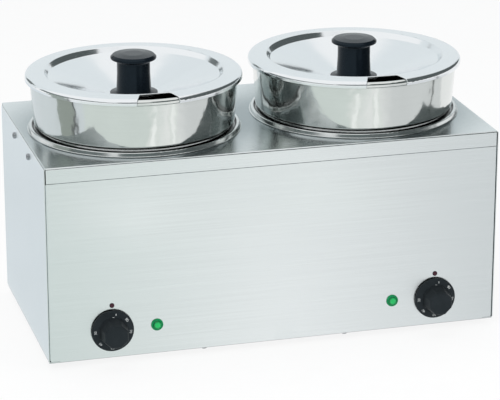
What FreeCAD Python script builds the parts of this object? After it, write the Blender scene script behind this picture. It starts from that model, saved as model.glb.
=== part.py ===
import FreeCAD, Part
import Sketcher
import math
import os
import re

# Two-pot soup kettle: a folded sheet-steel housing with two heated wells, a lift-out pot in each
# well, a notched lid with a knob on each pot, and a thermostat dial with two lamps for each well.
# Lengths are millimetres. +Z is up, the front with the dials faces -Y, and z = 0 is the worktop.

SIZES = [
    # Pots
    ("pot_radius", 122.0),
    ("pot_taper", 3.5),
    ("pot_depth", 105.0),
    ("pot_wall", 1.0),
    ("pot_corner", 14.0),
    ("pot_shoulder", 9.0),
    ("pot_shoulder_rounding", 4.0),
    ("pot_flare", 4.2),
    ("pot_rim_height", 70.4),
    ("rim_bead_radius", 4.0),
    ("rim_bead_lean", 0.8),
    # Wells
    ("well_clearance", 2.5),
    ("well_water", 25.0),
    ("well_wall", 0.8),
    ("well_corner", 10.0),
    ("well_hole_gap", 1.2),
    ("seat_height", 8.0),
    ("seat_width", 3.7),
    ("groove_height", 2.6),
    ("groove_width", 2.3),
    ("groove_slope", 1.0),
    ("bead_height", 5.8),
    ("bead_half_width", 1.7),
    ("bead_slope", 1.8),
    ("collar_width", 1.0),
    # Lids
    ("lid_wall", 1.0),
    ("lid_clearance", 0.3),
    ("lid_skirt_drop", 2.4),
    ("lid_rise", 1.3),
    ("lid_rim_width", 24.8),
    ("lid_step_run", 5.0),
    ("lid_step_depth", 7.0),
    ("lid_dish_depth", 31.5),
    ("lid_flat_margin", 5.0),
    ("lid_flat_rounding", 20.0),
    ("lid_rounding", 2.0),
    ("notch_length", 23.0),
    ("notch_inner_half", 20.0),
    ("notch_outer_half", 29.0),
    ("notch_rounding", 3.0),
    # Lid knobs
    ("knob_height", 52.8),
    ("knob_stem_radius", 21.6),
    ("knob_flare", 1.2),
    ("knob_foot_width", 8.2),
    ("knob_foot_height", 2.6),
    ("knob_foot_edge", 1.0),
    ("knob_cap_overhang", 8.3),
    ("knob_cap_height", 8.2),
    ("knob_cap_edge", 2.6),
    ("knob_cap_rounding", 1.2),
    ("knob_cap_draw", 3.0),
    ("knob_crown", 1.2),
    ("knob_bolt_radius", 2.5),
    ("knob_bolt_fit", 0.05),
    ("knob_bolt_depth", 20.0),
    ("knob_bolt_end_gap", 2.4),
    ("knob_bolt_head_radius", 5.0),
    ("knob_bolt_head_height", 3.2),
    ("washer_width", 4.0),
    ("washer_height", 1.2),
    # Housing
    ("pot_gap", 17.4),
    ("side_margin", 8.7),
    ("front_margin", 8.7),
    ("rear_margin", 2.7),
    ("rear_overhang", 10.0),
    ("base_room", 130.0),
    ("sheet", 1.0),
    ("bend", 1.5),
    ("bend_land", 0.05),
    ("lip_height", 20.0),
    ("return_depth", 14.0),
    ("seam", 0.7),
    ("panel_gap", 0.3),
    ("plate_inset", 1.0),
    ("tongue_height", 8.0),
    ("vent_length", 42.0),
    ("vent_width", 3.0),
    ("vent_pitch", 8.0),
    ("vent_spacing", 300.0),
    ("vent_height", 120.0),
    # Feet and screws
    ("foot_height", 10.0),
    ("foot_top_radius", 14.0),
    ("foot_bottom_radius", 12.5),
    ("foot_rounding", 1.0),
    ("foot_inset", 45.0),
    ("foot_recess_gap", 1.3),
    ("foot_recess_depth", 5.0),
    ("screw_radius", 2.0),
    ("screw_head_radius", 4.2),
    ("screw_head_height", 2.6),
    ("screw_length", 7.0),
    ("screw_clearance", 0.05),
    ("base_screw_spacing", 190.0),
    ("base_screw_inset", 7.0),
    ("side_screw_spacing", 96.0),
    ("side_screw_drop", 15.0),
    # Well brackets
    ("bracket_end", 17.0),
    ("bracket_height", 20.0),
    ("bracket_wrap", 25.0),
    ("bracket_gap", 0.3),
    # Heater under each well
    ("element_tube_radius", 4.0),
    ("element_gap_angle", 20.0),
    ("element_bend", 8.0),
    ("element_tail", 14.0),
    ("contact_gap", 0.3),
    ("clamp_overlap", 12.0),
    ("clamp_half_width", 8.0),
    ("clamp_rounding", 3.2),
    ("clamp_thickness", 2.0),
    ("stud_radius", 3.0),
    ("stud_tail", 3.0),
    ("nut_wall", 2.8),
    ("nut_height", 5.0),
    ("cutout_radius", 8.0),
    ("cutout_height", 10.0),
    ("cutout_gap", 12.0),
    ("cutout_ear", 5.0),
    ("cutout_tab", 8.0),
    # Thermostat, its dial and its probe
    ("dial_offset", 67.0),
    ("dial_height", 37.8),
    ("dial_clearance", 0.7),
    ("skirt_radius", 27.5),
    ("skirt_edge", 2.0),
    ("skirt_rise", 2.5),
    ("skirt_band", 9.3),
    ("skirt_rounding", 0.7),
    ("grip_draft", 3.2),
    ("grip_height", 20.5),
    ("grip_rounding", 2.4),
    ("shaft_radius", 3.0),
    ("shaft_flat_depth", 1.0),
    ("shaft_fit", 0.05),
    ("shaft_depth", 14.0),
    ("shaft_cover", 10.5),
    ("bush_wall", 2.0),
    ("bush_reach", 0.8),
    ("bush_fit", 0.1),
    ("mount_plate", 2.0),
    ("mount_margin", 1.0),
    ("mount_half_tall", 9.0),
    ("fixing_inset", 4.0),
    ("fixing_radius", 1.75),
    ("fixing_head_radius", 3.4),
    ("fixing_head_height", 1.3),
    ("switch_half", 18.0),
    ("switch_rounding", 2.7),
    ("switch_depth", 28.0),
    ("capillary_radius", 1.2),
    ("capillary_bend", 16.0),
    ("capillary_clearance", 3.0),
    ("bulb_radius", 3.0),
    ("bulb_length", 80.0),
    ("probe_clearance", 6.0),
    ("clip_foot", 4.4),
    ("clip_length", 8.0),
    ("clip_sheet", 1.0),
    ("clip_spacing", 44.0),
    # Lamps
    ("green_offset", 58.6),
    ("green_height", 39.2),
    ("green_lens_radius", 5.4),
    ("green_lens_height", 3.6),
    ("green_lens_wall", 0.6),
    ("green_bezel_width", 1.9),
    ("green_bezel_height", 1.8),
    ("green_depth", 22.0),
    ("red_gap", 2.7),
    ("red_lens_radius", 3.2),
    ("red_lens_height", 1.2),
    ("red_shoulder", 2.0),
    ("red_depth", 16.0),
    ("lamp_fit", 0.05),
    ("lamp_rounding", 1.0),
    ("lens_seat", 2.0),
    # Mains connection
    ("terminal_pitch", 13.0),
    ("terminal_ends", 5.0),
    ("terminal_width", 20.0),
    ("terminal_height", 18.0),
    ("terminal_hole_radius", 3.0),
    ("terminal_hole_depth", 9.0),
    ("terminal_setback", 60.0),
    ("gland_offset", 100.0),
    ("gland_height", 40.0),
    ("gland_bore_radius", 4.5),
    ("gland_wall", 3.5),
    ("gland_barrel_length", 14.0),
    ("gland_flange_width", 3.0),
    ("gland_flange_height", 6.0),
    ("gland_flange_rounding", 2.0),
    ("gland_nut_wall", 4.0),
    ("gland_nut_height", 5.0),
    ("gland_fit", 0.05),
    ("wire_radius", 3.0),
    ("wire_run", 29.0),
]
NAMES = {name for name, value in SIZES}
SIDES = (("left", -1), ("right", 1))
VENT_ROWS = 7
TERMINAL_WAYS = 3
GRIP_FLATS = 8
NUT_FLATS = 6

# Pot, well and lid radii, each from the one inside it
POT_BASE = "(pot_radius - pot_taper)"
POT_SHOULDER = "(pot_radius + pot_shoulder)"
POT_RIM = f"({POT_SHOULDER} + pot_flare)"
RIM_CENTRE = f"({POT_RIM} + rim_bead_lean)"
WELL_INSIDE = "(pot_radius + well_clearance)"
WELL_OUTSIDE = f"({WELL_INSIDE} + well_wall)"
SEAT_RADIUS = f"({WELL_INSIDE} + seat_width)"
GROOVE_RADIUS = f"({SEAT_RADIUS} + groove_slope)"
BEAD_RADIUS = f"({GROOVE_RADIUS} + groove_width + bead_slope + bead_half_width)"
LID_INSIDE = f"({RIM_CENTRE} + rim_bead_radius + lid_clearance)"
LID_OUTSIDE = f"({LID_INSIDE} + lid_wall)"
LID_STEP = f"({LID_OUTSIDE} - lid_rim_width)"
LID_DISH = f"({LID_STEP} - lid_step_run)"
KNOB_FLARE = "(knob_stem_radius + knob_flare)"
KNOB_FOOT = f"({KNOB_FLARE} + knob_foot_width)"
KNOB_CAP = "(knob_stem_radius + knob_cap_overhang)"
KNOB_TOP = f"({KNOB_CAP} - knob_cap_draw)"
LID_FLAT = f"({KNOB_FOOT} + lid_flat_margin)"

# Heights of the lid above the housing's top
LID_EDGE_TOP = "(pot_rim_height + rim_bead_radius + lid_clearance + lid_wall)"
LID_TOP = f"({LID_EDGE_TOP} + lid_rise)"
LID_FLOOR = f"({LID_TOP} - lid_dish_depth)"

# The housing around the pots
POT_X = f"({LID_OUTSIDE} + pot_gap / 2)"
POT_SETBACK = f"({LID_OUTSIDE} + front_margin)"
HALF_WIDTH = f"({POT_X} + {LID_OUTSIDE} + side_margin)"
SIDE_DEPTH = f"({POT_SETBACK} + {LID_OUTSIDE} + rear_margin)"
WELL_DEPTH = "(pot_depth + well_water)"
FLOOR_Z = "(foot_height + sheet)"
WELL_BOTTOM = "(foot_height + base_room - well_wall)"
TOP_Z = f"(foot_height + base_room + {WELL_DEPTH})"
BEND_OUT = "(bend + sheet)"
PANEL_HALF = f"({HALF_WIDTH} - sheet - panel_gap)"
PANEL_TOP = f"({TOP_Z} - lip_height - seam)"
FOOT_X = f"({HALF_WIDTH} - foot_inset)"

# Dials, lamps and what lies behind them
DIAL_GAP = "(fixing_head_height + dial_clearance)"
SKIRT_TOP = f"({DIAL_GAP} + skirt_edge + skirt_rise)"
DIAL_REACH = f"({SKIRT_TOP} + grip_height)"
SHAFT_REACH = f"({DIAL_REACH} - shaft_cover)"
GRIP_BASE = "(skirt_radius - skirt_band)"
DIAL_X = f"({POT_X} + dial_offset)"
DIAL_Z = "(foot_height + dial_height)"
RED_Z = f"({DIAL_Z} + skirt_radius + red_gap + red_lens_radius)"
GREEN_X = f"({DIAL_X} - green_offset)"
GREEN_BARREL = "(green_lens_radius + green_lens_wall)"
BUSH_RADIUS = "(shaft_radius + bush_wall)"
FIXING_OFFSET = "(switch_half - fixing_inset)"
SWITCH_BACK = "(sheet + mount_plate + switch_depth)"
SCREW_HOLE = "(screw_radius + screw_clearance)"
BOLT_HOLE = "(knob_bolt_radius + 2 * knob_bolt_fit)"

# The heater, its clamp and the probe under a well
CLIP_INSIDE = "(bulb_radius + 2 * contact_gap)"
CLIP_HALF = f"({CLIP_INSIDE} + clip_sheet + clip_foot)"
ELEMENT_RADIUS = f"(dial_offset - {CLIP_HALF} - probe_clearance - element_tube_radius)"
CLAMP_TOP = "(2 * contact_gap + 2 * element_tube_radius)"
GLAND_X = f"({HALF_WIDTH} - gland_offset)"
GLAND_BARREL = "(gland_bore_radius + gland_wall)"
TERMINAL_HALF = f"(({TERMINAL_WAYS} * terminal_pitch + terminal_ends) / 2)"

# The whole box is centred on y = 0, from the dials' fronts to the rear lip
FRONT_Y = f"(({DIAL_REACH} - {SIDE_DEPTH} - rear_overhang) / 2)"
REAR_Y = f"({FRONT_Y} + {SIDE_DEPTH})"
POT_Y = f"({FRONT_Y} + {POT_SETBACK})"

# Directions that a piece modelled along +Z can face
FACING = {
    "up": FreeCAD.Rotation(),
    "front": FreeCAD.Rotation(FreeCAD.Vector(1, 0, 0), 90),
    "rear": FreeCAD.Rotation(FreeCAD.Vector(1, 0, 0), -90),
    "left": FreeCAD.Rotation(FreeCAD.Vector(0, 1, 0), -90),
    "right": FreeCAD.Rotation(FreeCAD.Vector(0, 1, 0), 90),
}

doc = FreeCAD.newDocument("soup_kettle")
sheet = doc.addObject("Spreadsheet::Sheet", "sizes")
for row, (name, value) in enumerate(SIZES, start=1):
    sheet.set(f"A{row}", name)
    sheet.set(f"B{row}", str(value))
    sheet.setAlias(f"B{row}", name)
doc.recompute()
pieces = []


def number(text):
    """Value of a size expression."""
    return float(sheet.evalExpression(text))


def bind(item, prop, text):
    """Tie a property to the sheet."""
    words = re.sub(r"[a-z_]+", lambda m: f"sizes.{m[0]}" if m[0] in NAMES else m[0], text)
    item.setExpression(prop, words)


def place(item, x="0", y="0", z="0", facing="up"):
    """Turn a finished piece to its facing and tie its place to the sheet."""
    item.Placement = FreeCAD.Placement(FreeCAD.Vector(), FACING[facing])
    for axis, text in zip("xyz", (x, y, z)):
        bind(item, f"Placement.Base.{axis}", text)


def new_body(name):
    """Start one named piece."""
    body = doc.addObject("PartDesign::Body", name)
    body.Label = name
    pieces.append(body)
    return body


def origin_item(body, role):
    """Origin plane or axis of a body."""
    return next(item for item in body.Origin.OriginFeatures if item.Role == role)


def new_sketch(body, plane, offset="0"):
    """Sketch on one of the body's own origin planes, lifted along its normal."""
    sketch = body.newObject("Sketcher::SketchObject", f"{body.Name}_sketch")
    sketch.AttachmentSupport = [(origin_item(body, plane), "")]
    sketch.MapMode = "FlatFace"
    bind(sketch, "AttachmentOffset.Base.z", offset)
    return sketch


def fix_point(sketch, item, end, x, y):
    """Hold one point of a sketch at sheet-driven coordinates."""
    for kind, text in (("DistanceX", x), ("DistanceY", y)):
        index = sketch.addConstraint(Sketcher.Constraint(kind, item, end, number(text)))
        bind(sketch, f"Constraints[{index}]", text)


def circle(sketch, x, y, radius):
    """Circle with its centre and radius tied to the sheet."""
    centre = FreeCAD.Vector(number(x), number(y), 0)
    item = sketch.addGeometry(Part.Circle(centre, FreeCAD.Vector(0, 0, 1), number(radius)))
    index = sketch.addConstraint(Sketcher.Constraint("Radius", item, number(radius)))
    bind(sketch, f"Constraints[{index}]", radius)
    fix_point(sketch, item, 3, x, y)


def corner_arc(before, corner, after, radius):
    """Arc that rounds a corner, and whether it runs the way the outline does."""
    to_before = (before - corner).normalize()
    to_after = (after - corner).normalize()
    half_angle = to_before.getAngle(to_after) / 2
    middle = (to_before + to_after).normalize()
    centre = corner + middle * (radius / math.sin(half_angle))
    reach = radius / math.tan(half_angle)
    enter = corner + to_before * reach
    leave = corner + to_after * reach
    left_turn = to_after.cross(to_before).z > 0
    first, last = (enter, leave) if left_turn else (leave, enter)
    angles = [math.atan2((p - centre).y, (p - centre).x) for p in (first, last)]
    ring = Part.Circle(centre, FreeCAD.Vector(0, 0, 1), radius)
    return Part.ArcOfCircle(ring, angles[0], angles[1]), enter, leave, left_turn


def outline(sketch, corners):
    """Closed outline through corners (x, y), each rounded where it also has a radius."""
    points = [FreeCAD.Vector(number(c[0]), number(c[1]), 0) for c in corners]
    count = len(corners)
    arcs = {}
    for i, corner in enumerate(corners):
        if len(corner) == 3:
            around = (points[i - 1], points[i], points[(i + 1) % count])
            arcs[i] = corner_arc(*around, number(corner[2]))
    lines = []
    for i in range(count):
        j = (i + 1) % count
        start = arcs[i][2] if i in arcs else points[i]
        end = arcs[j][1] if j in arcs else points[j]
        lines.append(sketch.addGeometry(Part.LineSegment(start, end)))
    for i, corner in enumerate(corners):
        line_in, line_out = lines[i - 1], lines[i]
        if i not in arcs:
            sketch.addConstraint(Sketcher.Constraint("Coincident", line_in, 2, line_out, 1))
            fix_point(sketch, line_out, 1, corner[0], corner[1])
            continue
        arc = sketch.addGeometry(arcs[i][0])
        first, last = (1, 2) if arcs[i][3] else (2, 1)
        sketch.addConstraint(Sketcher.Constraint("Tangent", line_in, 2, arc, first))
        sketch.addConstraint(Sketcher.Constraint("Tangent", arc, last, line_out, 1))
        index = sketch.addConstraint(Sketcher.Constraint("Radius", arc, number(corner[2])))
        bind(sketch, f"Constraints[{index}]", corner[2])
        point = sketch.addGeometry(Part.Point(points[i]), True)
        sketch.addConstraint(Sketcher.Constraint("PointOnObject", point, 1, line_in))
        sketch.addConstraint(Sketcher.Constraint("PointOnObject", point, 1, line_out))
        fix_point(sketch, point, 1, corner[0], corner[1])


def rectangle(sketch, low_x, low_y, high_x, high_y, rounding=None):
    """Rectangle, with rounded corners where a rounding is given."""
    corners = [(low_x, low_y), (high_x, low_y), (high_x, high_y), (low_x, high_y)]
    if rounding:
        corners = [(*corner, rounding) for corner in corners]
    outline(sketch, corners)


def polygon(sketch, radius, sides):
    """Regular polygon about the sketch's origin, with its flats at this inner radius."""
    half = 180 / sides
    corner_radius = f"{radius} / cos({half})"
    angles = [half + 2 * half * i for i in range(sides)]
    outline(sketch, [(f"{corner_radius} * cos({a})", f"{corner_radius} * sin({a})") for a in angles])


def pad(body, sketch, length, reverse=False, both_ways=False):
    """Raise a sketch into solid material."""
    feature = body.newObject("PartDesign::Pad", f"{body.Name}_pad")
    feature.Profile = sketch
    feature.Reversed = reverse
    feature.SideType = "Symmetric" if both_ways else "One side"
    bind(feature, "Length", length)
    return feature


def pocket(body, sketch, length, reverse=False, both_ways=False):
    """Cut a sketch out of the body, and make sure that it does cut."""
    doc.recompute()
    before = body.Shape.Volume
    feature = body.newObject("PartDesign::Pocket", f"{body.Name}_pocket")
    feature.Profile = sketch
    feature.Reversed = reverse
    feature.SideType = "Symmetric" if both_ways else "One side"
    bind(feature, "Length", length)
    doc.recompute()
    if body.Shape.Volume >= before:
        raise RuntimeError(f"{feature.Name} cuts nothing")
    return feature


def revolve(body, sketch):
    """Turn a sketch about its upright axis."""
    feature = body.newObject("PartDesign::Revolution", f"{body.Name}_revolution")
    feature.Profile = sketch
    feature.ReferenceAxis = (sketch, ["V_Axis"])
    feature.Angle = 360
    return feature


def turned(body, corners):
    """Turned solid from an outline of (radius, height) corners."""
    sketch = new_sketch(body, "XZ_Plane")
    outline(sketch, corners)
    return revolve(body, sketch)


def repeat(body, feature, across, rows=None):
    """Copies of a feature along two axes: each is (axis, spacing, count)."""
    pattern = body.newObject("PartDesign::LinearPattern", f"{body.Name}_pattern")
    pattern.Originals = [feature]
    for suffix, run in (("", across), ("2", rows)):
        if run is None:
            continue
        axis, spacing, count = run
        setattr(pattern, f"Direction{suffix}", (origin_item(body, axis), [""]))
        setattr(pattern, f"Occurrences{suffix}", count)
        bind(pattern, f"Length{suffix}", f"({spacing}) * {count - 1}")
    body.Tip = pattern
    return pattern


def bent_tube(name, points, radius, bend):
    """Round tube along straight runs that are joined by tangent arcs."""
    edges = []
    start = points[0]
    for before, corner, after in zip(points, points[1:], points[2:]):
        to_before = (before - corner).normalize()
        to_after = (after - corner).normalize()
        half_angle = to_before.getAngle(to_after) / 2
        middle = (to_before + to_after).normalize()
        enter = corner + to_before * (bend / math.tan(half_angle))
        leave = corner + to_after * (bend / math.tan(half_angle))
        crest = corner + middle * (bend / math.sin(half_angle) - bend)
        edges.append(Part.LineSegment(start, enter).toShape())
        edges.append(Part.Arc(enter, crest, leave).toShape())
        start = leave
    edges.append(Part.LineSegment(start, points[-1]).toShape())
    return swept_tube(name, edges, points[0], points[1] - points[0], radius)


def swept_tube(name, edges, start, direction, radius):
    """Round tube swept along joined edges."""
    path = Part.Wire(edges)
    section = Part.Wire(Part.makeCircle(radius, start, direction))
    tube = path.makePipeShell([section], True, False)
    if abs(tube.Volume / (math.pi * radius**2 * path.Length) - 1) > 0.01:
        raise RuntimeError(f"{name} is not as long as its path")
    return tube


def new_shape(name, shape):
    """Piece whose shape is set directly."""
    feature = doc.addObject("Part::Feature", name)
    feature.Label = name
    feature.Shape = shape
    pieces.append(feature)
    return feature


def vector(x, y, z):
    """Point from three size expressions."""
    return FreeCAD.Vector(number(x), number(y), number(z))


# Housing: one sheet folded into the top, both sides and the lips at the front and the rear

def outer_cover():
    body = new_body("outer_cover")
    depth = f"({SIDE_DEPTH} + rear_overhang)"
    lip_end = f"{TOP_Z} - lip_height"
    top = new_sketch(body, "YZ_Plane")
    outline(top, [
        ("0", lip_end),
        ("0", TOP_Z, BEND_OUT),
        (depth, TOP_Z, BEND_OUT),
        (depth, lip_end),
        (f"{depth} - sheet", lip_end),
        (f"{depth} - sheet", f"{TOP_Z} - sheet", "bend"),
        ("sheet", f"{TOP_Z} - sheet", "bend"),
        ("sheet", lip_end),
    ])
    pad(body, top, f"2 * ({HALF_WIDTH} - {BEND_OUT})", both_ways=True)
    sides = new_sketch(body, "XZ_Plane")
    for name, sign in SIDES:
        fold = f"{sign} * ({HALF_WIDTH} - {BEND_OUT} - bend_land)"
        foot = f"{sign} * ({HALF_WIDTH} - return_depth)"
        inside = f"{sign} * ({HALF_WIDTH} - sheet)"
        outline(sides, [
            (fold, TOP_Z),
            (f"{sign} * {HALF_WIDTH}", TOP_Z, BEND_OUT),
            (f"{sign} * {HALF_WIDTH}", FLOOR_Z, BEND_OUT),
            (foot, FLOOR_Z),
            (foot, f"{FLOOR_Z} + sheet"),
            (inside, f"{FLOOR_Z} + sheet", "bend"),
            (inside, f"{TOP_Z} - sheet", "bend"),
            (fold, f"{TOP_Z} - sheet"),
        ])
    pad(body, sides, SIDE_DEPTH, reverse=True)
    holes = new_sketch(body, "XY_Plane", TOP_Z)
    for name, sign in SIDES:
        circle(holes, f"{sign} * {POT_X}", POT_SETBACK, f"{WELL_OUTSIDE} + well_hole_gap")
    pocket(body, holes, "2 * sheet")
    drillings = new_sketch(body, "YZ_Plane")
    for name, sign in SIDES:
        circle(drillings, f"{POT_SETBACK} + {sign} * side_screw_spacing / 2",
               f"{TOP_Z} - side_screw_drop", SCREW_HOLE)
    pocket(body, drillings, f"2 * {HALF_WIDTH} + 2 * sheet", both_ways=True)
    place(body, y=FRONT_Y)


def folded_panel(name, face_y, turn, top):
    """Upright panel with returns at both sides and along its foot; turn is +1 for a front panel."""
    body = new_body(name)
    plan = new_sketch(body, "XY_Plane", FLOOR_Z)
    inside = f"{face_y} + {turn} * sheet"
    deep = f"{face_y} + {turn} * return_depth"
    outline(plan, [
        (f"-{PANEL_HALF}", face_y, BEND_OUT),
        (PANEL_HALF, face_y, BEND_OUT),
        (PANEL_HALF, deep),
        (f"{PANEL_HALF} - sheet", deep),
        (f"{PANEL_HALF} - sheet", inside, "bend"),
        (f"-({PANEL_HALF} - sheet)", inside, "bend"),
        (f"-({PANEL_HALF} - sheet)", deep),
        (f"-{PANEL_HALF}", deep),
    ])
    pad(body, plan, f"{top} - {FLOOR_Z}")
    foot = new_sketch(body, "XY_Plane", FLOOR_Z)
    foot_half = f"({HALF_WIDTH} - return_depth - {BEND_OUT})"
    rectangle(foot, f"-{foot_half}", inside, foot_half, deep)
    pad(body, foot, "sheet")
    bores = new_sketch(body, "XY_Plane", FLOOR_Z)
    for side, sign in SIDES:
        circle(bores, f"{sign} * base_screw_spacing / 2", f"{face_y} + {turn} * base_screw_inset", SCREW_HOLE)
    pocket(body, bores, "2 * sheet", reverse=True)
    notches = new_sketch(body, "XZ_Plane", f"-({face_y})")
    tall = f"{FLOOR_Z} + {BEND_OUT} + panel_gap"
    low = f"{FLOOR_Z} + sheet + panel_gap"
    for side, sign in SIDES:
        shoulder = f"{sign} * ({HALF_WIDTH} - {BEND_OUT} - panel_gap)"
        inner = f"{sign} * ({HALF_WIDTH} - return_depth - panel_gap)"
        outer = f"{sign} * {HALF_WIDTH}"
        outline(notches, [
            (inner, FLOOR_Z),
            (outer, FLOOR_Z),
            (outer, tall),
            (shoulder, tall),
            (shoulder, low),
            (inner, low),
        ])
    pocket(body, notches, "3 * return_depth", both_ways=True)
    return body


def front_panel():
    body = folded_panel("front_panel", "0", 1, PANEL_TOP)
    tongue = new_sketch(body, "XZ_Plane", "-sheet")
    tongue_half = f"({PANEL_HALF} - return_depth)"
    rectangle(tongue, f"-{tongue_half}", f"{PANEL_TOP} - tongue_height",
              tongue_half, f"{PANEL_TOP} + tongue_height")
    pad(body, tongue, "sheet", reverse=True)
    holes = new_sketch(body, "XZ_Plane")
    for side, sign in SIDES:
        dial_x = f"{sign} * {DIAL_X}"
        circle(holes, dial_x, DIAL_Z, f"{BUSH_RADIUS} + bush_fit")
        for fixing in (-1, 1):
            circle(holes, f"{dial_x} + {fixing} * {FIXING_OFFSET}", DIAL_Z, "fixing_radius + screw_clearance")
        circle(holes, dial_x, RED_Z, "red_lens_radius + lamp_fit")
        circle(holes, f"{sign} * {GREEN_X}", "foot_height + green_height", f"{GREEN_BARREL} + lamp_fit")
    pocket(body, holes, "2 * sheet")
    place(body, y=FRONT_Y)


def rear_panel():
    body = folded_panel("rear_panel", SIDE_DEPTH, -1, f"({TOP_Z} - {BEND_OUT})")
    hole = new_sketch(body, "XZ_Plane", f"-{SIDE_DEPTH}")
    circle(hole, GLAND_X, "foot_height + gland_height", f"{GLAND_BARREL} + gland_fit")
    pocket(body, hole, "3 * sheet", both_ways=True)
    slot = new_sketch(body, "XZ_Plane", f"-{SIDE_DEPTH}")
    low = "foot_height + vent_height"
    rectangle(slot, "-(vent_spacing + vent_length) / 2", low, "-(vent_spacing - vent_length) / 2",
              f"{low} + vent_width", "0.45 * vent_width")
    vent = pocket(body, slot, "3 * sheet", both_ways=True)
    repeat(body, vent, ("Z_Axis", "vent_pitch", VENT_ROWS), ("X_Axis", "vent_spacing", len(SIDES)))
    place(body, y=FRONT_Y)


def base_plate():
    body = new_body("base_plate")
    plate = new_sketch(body, "XY_Plane", "foot_height")
    half = f"({HALF_WIDTH} - plate_inset)"
    rectangle(plate, f"-{half}", "plate_inset", half, f"{SIDE_DEPTH} - plate_inset")
    pad(body, plate, "sheet")
    bores = new_sketch(body, "XY_Plane", "foot_height")
    for side, sign in SIDES:
        for inset in ("foot_inset", f"{SIDE_DEPTH} - foot_inset"):
            circle(bores, f"{sign} * {FOOT_X}", inset, SCREW_HOLE)
        for inset in ("base_screw_inset", f"{SIDE_DEPTH} - base_screw_inset"):
            circle(bores, f"{sign} * base_screw_spacing / 2", inset, SCREW_HOLE)
    pocket(body, bores, "2 * sheet", reverse=True)
    place(body, y=FRONT_Y)


# Feet and screws: each group is one piece turned once and repeated

def rubber_feet():
    body = new_body("rubber_feet")
    recess = "screw_head_radius + foot_recess_gap"
    foot = turned(body, [
        (SCREW_HOLE, "foot_recess_depth"),
        (recess, "foot_recess_depth"),
        (recess, "0"),
        ("foot_bottom_radius", "0", "foot_rounding"),
        ("foot_top_radius", "foot_height"),
        (SCREW_HOLE, "foot_height"),
    ])
    repeat_at_feet(body, foot)


def repeat_at_feet(body, feature):
    """Copies of a feature at the four feet."""
    repeat(body, feature, ("X_Axis", f"2 * {FOOT_X}", 2), ("Y_Axis", f"{SIDE_DEPTH} - 2 * foot_inset", 2))
    place(body, x=f"-{FOOT_X}", y=f"{FRONT_Y} + foot_inset")


def screw_outline(head_z, head_radius="screw_head_radius", head_height="screw_head_height",
                  shank_radius="screw_radius", shank_length="screw_length"):
    """Pan-head screw: its head below head_z and its shank above."""
    return [
        ("0", f"{head_z} - {head_height}"),
        (head_radius, f"{head_z} - {head_height}", f"0.6 * {head_height}"),
        (head_radius, head_z),
        (shank_radius, head_z),
        (shank_radius, f"{head_z} + {shank_length}"),
        ("0", f"{head_z} + {shank_length}"),
    ]


def foot_screws():
    body = new_body("foot_screws")
    shank = "(foot_height - foot_recess_depth + screw_length)"
    screw = turned(body, screw_outline("foot_recess_depth", shank_length=shank))
    repeat_at_feet(body, screw)


def base_screws():
    body = new_body("base_screws")
    screw = turned(body, screw_outline("foot_height"))
    repeat(body, screw, ("X_Axis", "base_screw_spacing", 2),
           ("Y_Axis", f"{SIDE_DEPTH} - 2 * base_screw_inset", 2))
    place(body, x="-base_screw_spacing / 2", y=f"{FRONT_Y} + base_screw_inset")


def side_screws(side, sign):
    body = new_body(f"side_screws_{side}")
    screw = turned(body, screw_outline("0"))
    repeat(body, screw, ("Y_Axis", "side_screw_spacing", 2))
    place(body, x=f"{sign} * {HALF_WIDTH}", y=f"{POT_Y} - side_screw_spacing / 2",
          z=f"{TOP_Z} - side_screw_drop", facing="right" if side == "left" else "left")


# Wells: pressed bowls that hang by their collars in the top

def well(side, sign):
    body = new_body(f"well_{side}")
    bead_in = f"({BEAD_RADIUS} - bead_half_width)"
    bead_out = f"({BEAD_RADIUS} + bead_half_width)"
    collar = f"({bead_out} + bead_slope + collar_width)"
    shift = "0.7 * well_wall"
    tight = "0.7 * well_wall"
    wide = "1.5 * well_wall"
    turned(body, [
        ("0", f"-{WELL_DEPTH}"),
        (WELL_INSIDE, f"-{WELL_DEPTH}", "well_corner"),
        (WELL_INSIDE, "seat_height", wide),
        (SEAT_RADIUS, "seat_height", wide),
        (GROOVE_RADIUS, "groove_height", "well_wall"),
        (f"{bead_in} - bead_slope", "groove_height", "well_wall"),
        (bead_in, "bead_height", wide),
        (bead_out, "bead_height", wide),
        (f"{bead_out} + bead_slope", "well_wall", "well_wall"),
        (collar, "well_wall"),
        (collar, "0"),
        (f"{bead_out} + bead_slope - {shift}", "0"),
        (f"{bead_out} - {shift}", "bead_height - well_wall", tight),
        (f"{bead_in} + {shift}", "bead_height - well_wall", tight),
        (f"{bead_in} - bead_slope + {shift}", "groove_height - well_wall", wide),
        (f"{GROOVE_RADIUS} - {shift}", "groove_height - well_wall", wide),
        (f"{SEAT_RADIUS} - {shift}", "seat_height - well_wall", tight),
        (WELL_OUTSIDE, "seat_height - well_wall", tight),
        (WELL_OUTSIDE, f"-{WELL_DEPTH} - well_wall", "well_corner + well_wall"),
        ("0", f"-{WELL_DEPTH} - well_wall"),
    ])
    stud = new_sketch(body, "XY_Plane", f"-{WELL_DEPTH} - well_wall")
    circle(stud, "0", "0", "stud_radius")
    pad(body, stud, f"{CLAMP_TOP} + clamp_thickness + nut_height + stud_tail", reverse=True)
    place(body, x=f"{sign} * {POT_X}", y=POT_Y, z=TOP_Z)


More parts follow.
